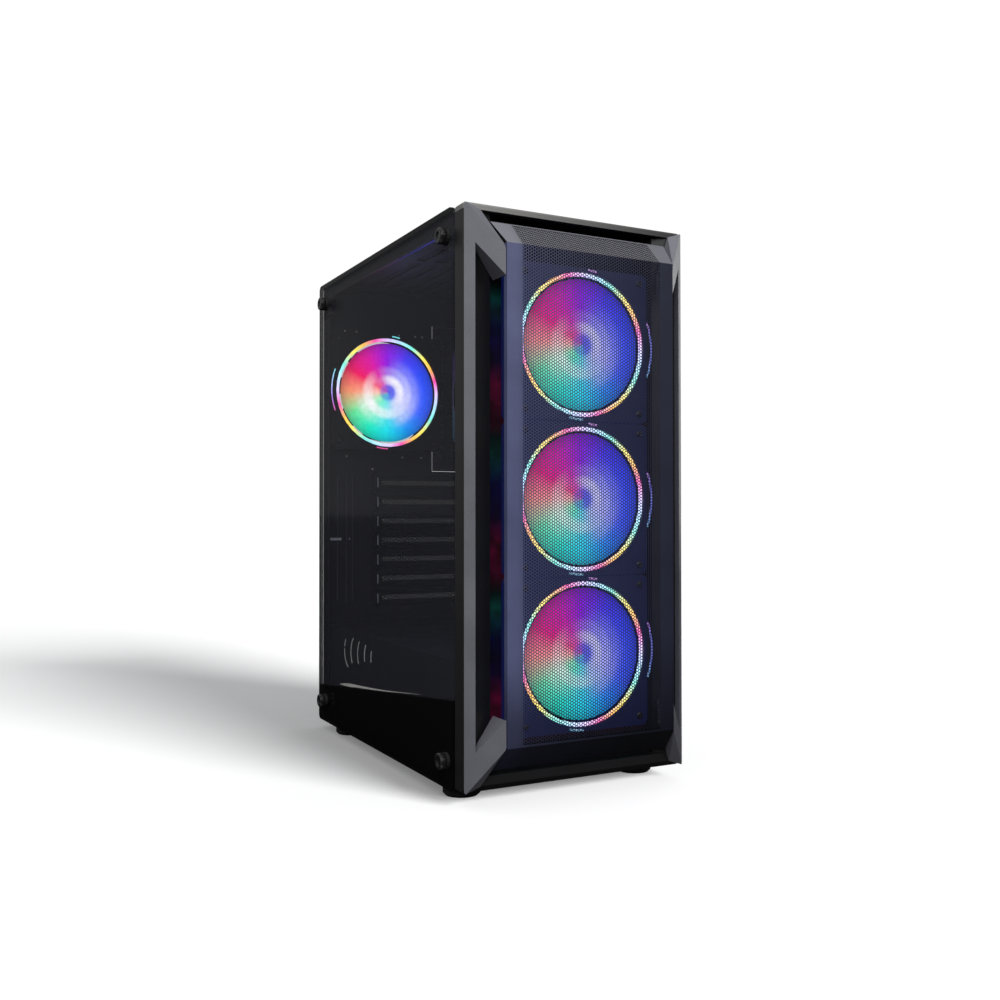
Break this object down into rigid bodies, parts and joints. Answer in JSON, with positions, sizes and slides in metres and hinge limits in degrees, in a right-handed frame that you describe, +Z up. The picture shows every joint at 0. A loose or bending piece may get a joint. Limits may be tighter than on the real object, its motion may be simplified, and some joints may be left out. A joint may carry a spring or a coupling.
{
  "type": "desktop computer tower",
  "caption": "Slim upright desktop computer tower with a perforated front box, lit fans, a smoked glass side held by thumbscrews and removable panels and filters.",
  "frame": {"origin": "centre of the footprint of the bounding box, at floor level under the feet", "axes": "+Z up, -Y is the front of the tower, -X is the glass side"},
  "size_m": [0.209, 0.3736, 0.4576],
  "materials": {
    "black_steel": "fine black powder coat",
    "bare_steel": "plain zinc-plated",
    "bezel_plastic": "dark charcoal, fine grain",
    "bracket_grey": "mid grey, satin",
    "mesh_steel": "satin black, perforated",
    "fan_black": "moulded black",
    "ring_diffuser": "milky diffuser, lit",
    "rotor_plastic": "translucent blades, lit",
    "smoked_glass": "smoked, polished",
    "screw_black": "gloss black",
    "rubber": "matt",
    "filter_mesh": "fine black mesh",
    "button_grey": "satin",
    "circuit_board": "black solder mask",
    "heatsink": "plain fins",
    "memory_grey": "anodised dark grey",
    "cable_black": "black sleeve"
  },
  "bodies": {
    "chassis": {"chassis_floor": "black_steel", "top_panel": "black_steel", "front_wall": "black_steel", "rear_panel": "black_steel", "motherboard_tray": "black_steel", "psu_shroud": "black_steel", "psu": "black_steel", "slot_cover_1": "black_steel", "slot_cover_2": "black_steel", "slot_cover_3": "black_steel", "slot_cover_4": "black_steel", "slot_cover_5": "black_steel", "slot_cover_6": "black_steel", "slot_cover_7": "black_steel", "front_bezel": "bezel_plastic", "io_panel": "bezel_plastic", "bezel_bracket_left": "bracket_grey", "bezel_bracket_right": "bracket_grey", "front_mesh": "mesh_steel", "front_fan_top_frame": "fan_black", "front_fan_top_ring": "ring_diffuser", "front_fan_middle_frame": "fan_black", "front_fan_middle_ring": "ring_diffuser", "front_fan_bottom_frame": "fan_black", "front_fan_bottom_ring": "ring_diffuser", "rear_fan_frame": "fan_black", "rear_fan_ring": "ring_diffuser", "cpu_fan_frame": "fan_black", "foot_1": "rubber", "foot_2": "rubber", "foot_3": "rubber", "foot_4": "rubber", "usb_ports": "bare_steel", "io_shield": "bare_steel", "motherboard": "circuit_board", "cpu_cooler": "heatsink", "memory_module": "memory_grey", "power_cable": "cable_black"},
    "front_fan_top_rotor": {"front_fan_top_rotor": "rotor_plastic"},
    "front_fan_middle_rotor": {"front_fan_middle_rotor": "rotor_plastic"},
    "front_fan_bottom_rotor": {"front_fan_bottom_rotor": "rotor_plastic"},
    "rear_fan_rotor": {"rear_fan_rotor": "rotor_plastic"},
    "cpu_fan_rotor": {"cpu_fan_rotor": "fan_black"},
    "glass_side": {"glass_panel": "smoked_glass", "glass_washer_1": "rubber", "glass_washer_2": "rubber", "glass_washer_3": "rubber", "glass_washer_4": "rubber"},
    "glass_screw_1": {"glass_screw_1": "screw_black"},
    "glass_screw_2": {"glass_screw_2": "screw_black"},
    "glass_screw_3": {"glass_screw_3": "screw_black"},
    "glass_screw_4": {"glass_screw_4": "screw_black"},
    "right_side": {"right_panel": "black_steel"},
    "right_screw_1": {"right_screw_1": "screw_black"},
    "right_screw_2": {"right_screw_2": "screw_black"},
    "top_filter": {"top_filter": "filter_mesh"},
    "bottom_filter": {"bottom_filter": "filter_mesh"},
    "power_button": {"power_button": "button_grey"},
    "reset_button": {"reset_button": "button_grey"},
    "psu_switch": {"psu_switch": "fan_black"}
  },
  "joints": [
    {"name": "front_fan_top_spin", "type": "hinge", "parent": "chassis", "child": "front_fan_top_rotor", "pos_m": [0.004, -0.1606, 0.3525], "axis": [0, 1, 0], "continuous": true},
    {"name": "front_fan_middle_spin", "type": "hinge", "parent": "chassis", "child": "front_fan_middle_rotor", "pos_m": [0.004, -0.1606, 0.2315], "axis": [0, 1, 0], "continuous": true},
    {"name": "front_fan_bottom_spin", "type": "hinge", "parent": "chassis", "child": "front_fan_bottom_rotor", "pos_m": [0.004, -0.1606, 0.1105], "axis": [0, 1, 0], "continuous": true},
    {"name": "rear_fan_spin", "type": "hinge", "parent": "chassis", "child": "rear_fan_rotor", "pos_m": [-0.0302, 0.1665, 0.3467], "axis": [0, 1, 0], "continuous": true},
    {"name": "cpu_fan_spin", "type": "hinge", "parent": "chassis", "child": "cpu_fan_rotor", "pos_m": [0.023, 0.0498, 0.338], "axis": [1, 0, 0], "continuous": true},
    {"name": "glass_off", "type": "slide", "parent": "chassis", "child": "glass_side", "axis": [-1, 0, 0], "range_m": [0, 0.15]},
    {"name": "glass_screw_1_turn", "type": "hinge", "parent": "glass_side", "child": "glass_screw_1", "pos_m": [-0.0965, -0.1352, 0.031], "axis": [-1, 0, 0], "continuous": true},
    {"name": "glass_screw_2_turn", "type": "hinge", "parent": "glass_side", "child": "glass_screw_2", "pos_m": [-0.0965, -0.1352, 0.4335], "axis": [-1, 0, 0], "continuous": true},
    {"name": "glass_screw_3_turn", "type": "hinge", "parent": "glass_side", "child": "glass_screw_3", "pos_m": [-0.0965, 0.1578, 0.031], "axis": [-1, 0, 0], "continuous": true},
    {"name": "glass_screw_4_turn", "type": "hinge", "parent": "glass_side", "child": "glass_screw_4", "pos_m": [-0.0965, 0.1578, 0.4335], "axis": [-1, 0, 0], "continuous": true},
    {"name": "right_panel_back", "type": "slide", "parent": "chassis", "child": "right_side", "axis": [0, 1, 0], "range_m": [0, 0.02]},
    {"name": "right_screw_1_turn", "type": "hinge", "parent": "right_side", "child": "right_screw_1", "pos_m": [0.0965, 0.1826, 0.068], "axis": [0, 1, 0], "continuous": true},
    {"name": "right_screw_2_turn", "type": "hinge", "parent": "right_side", "child": "right_screw_2", "pos_m": [0.0965, 0.1826, 0.398], "axis": [0, 1, 0], "continuous": true},
    {"name": "top_filter_lift", "type": "slide", "parent": "chassis", "child": "top_filter", "axis": [0, 0, 1], "range_m": [0, 0.05]},
    {"name": "bottom_filter_out", "type": "slide", "parent": "chassis", "child": "bottom_filter", "axis": [0, 1, 0], "range_m": [0, 0.15]},
    {"name": "power_press", "type": "slide", "parent": "chassis", "child": "power_button", "axis": [0, 0, -1], "range_m": [0, 0.0015], "stiffness_N_per_m": 500},
    {"name": "reset_press", "type": "slide", "parent": "chassis", "child": "reset_button", "axis": [0, 0, -1], "range_m": [0, 0.0012], "stiffness_N_per_m": 400},
    {"name": "psu_switch_rock", "type": "hinge", "parent": "chassis", "child": "psu_switch", "pos_m": [-0.0565, 0.1758, 0.078], "axis": [1, 0, 0], "range_deg": [0, 10]}
  ]
}
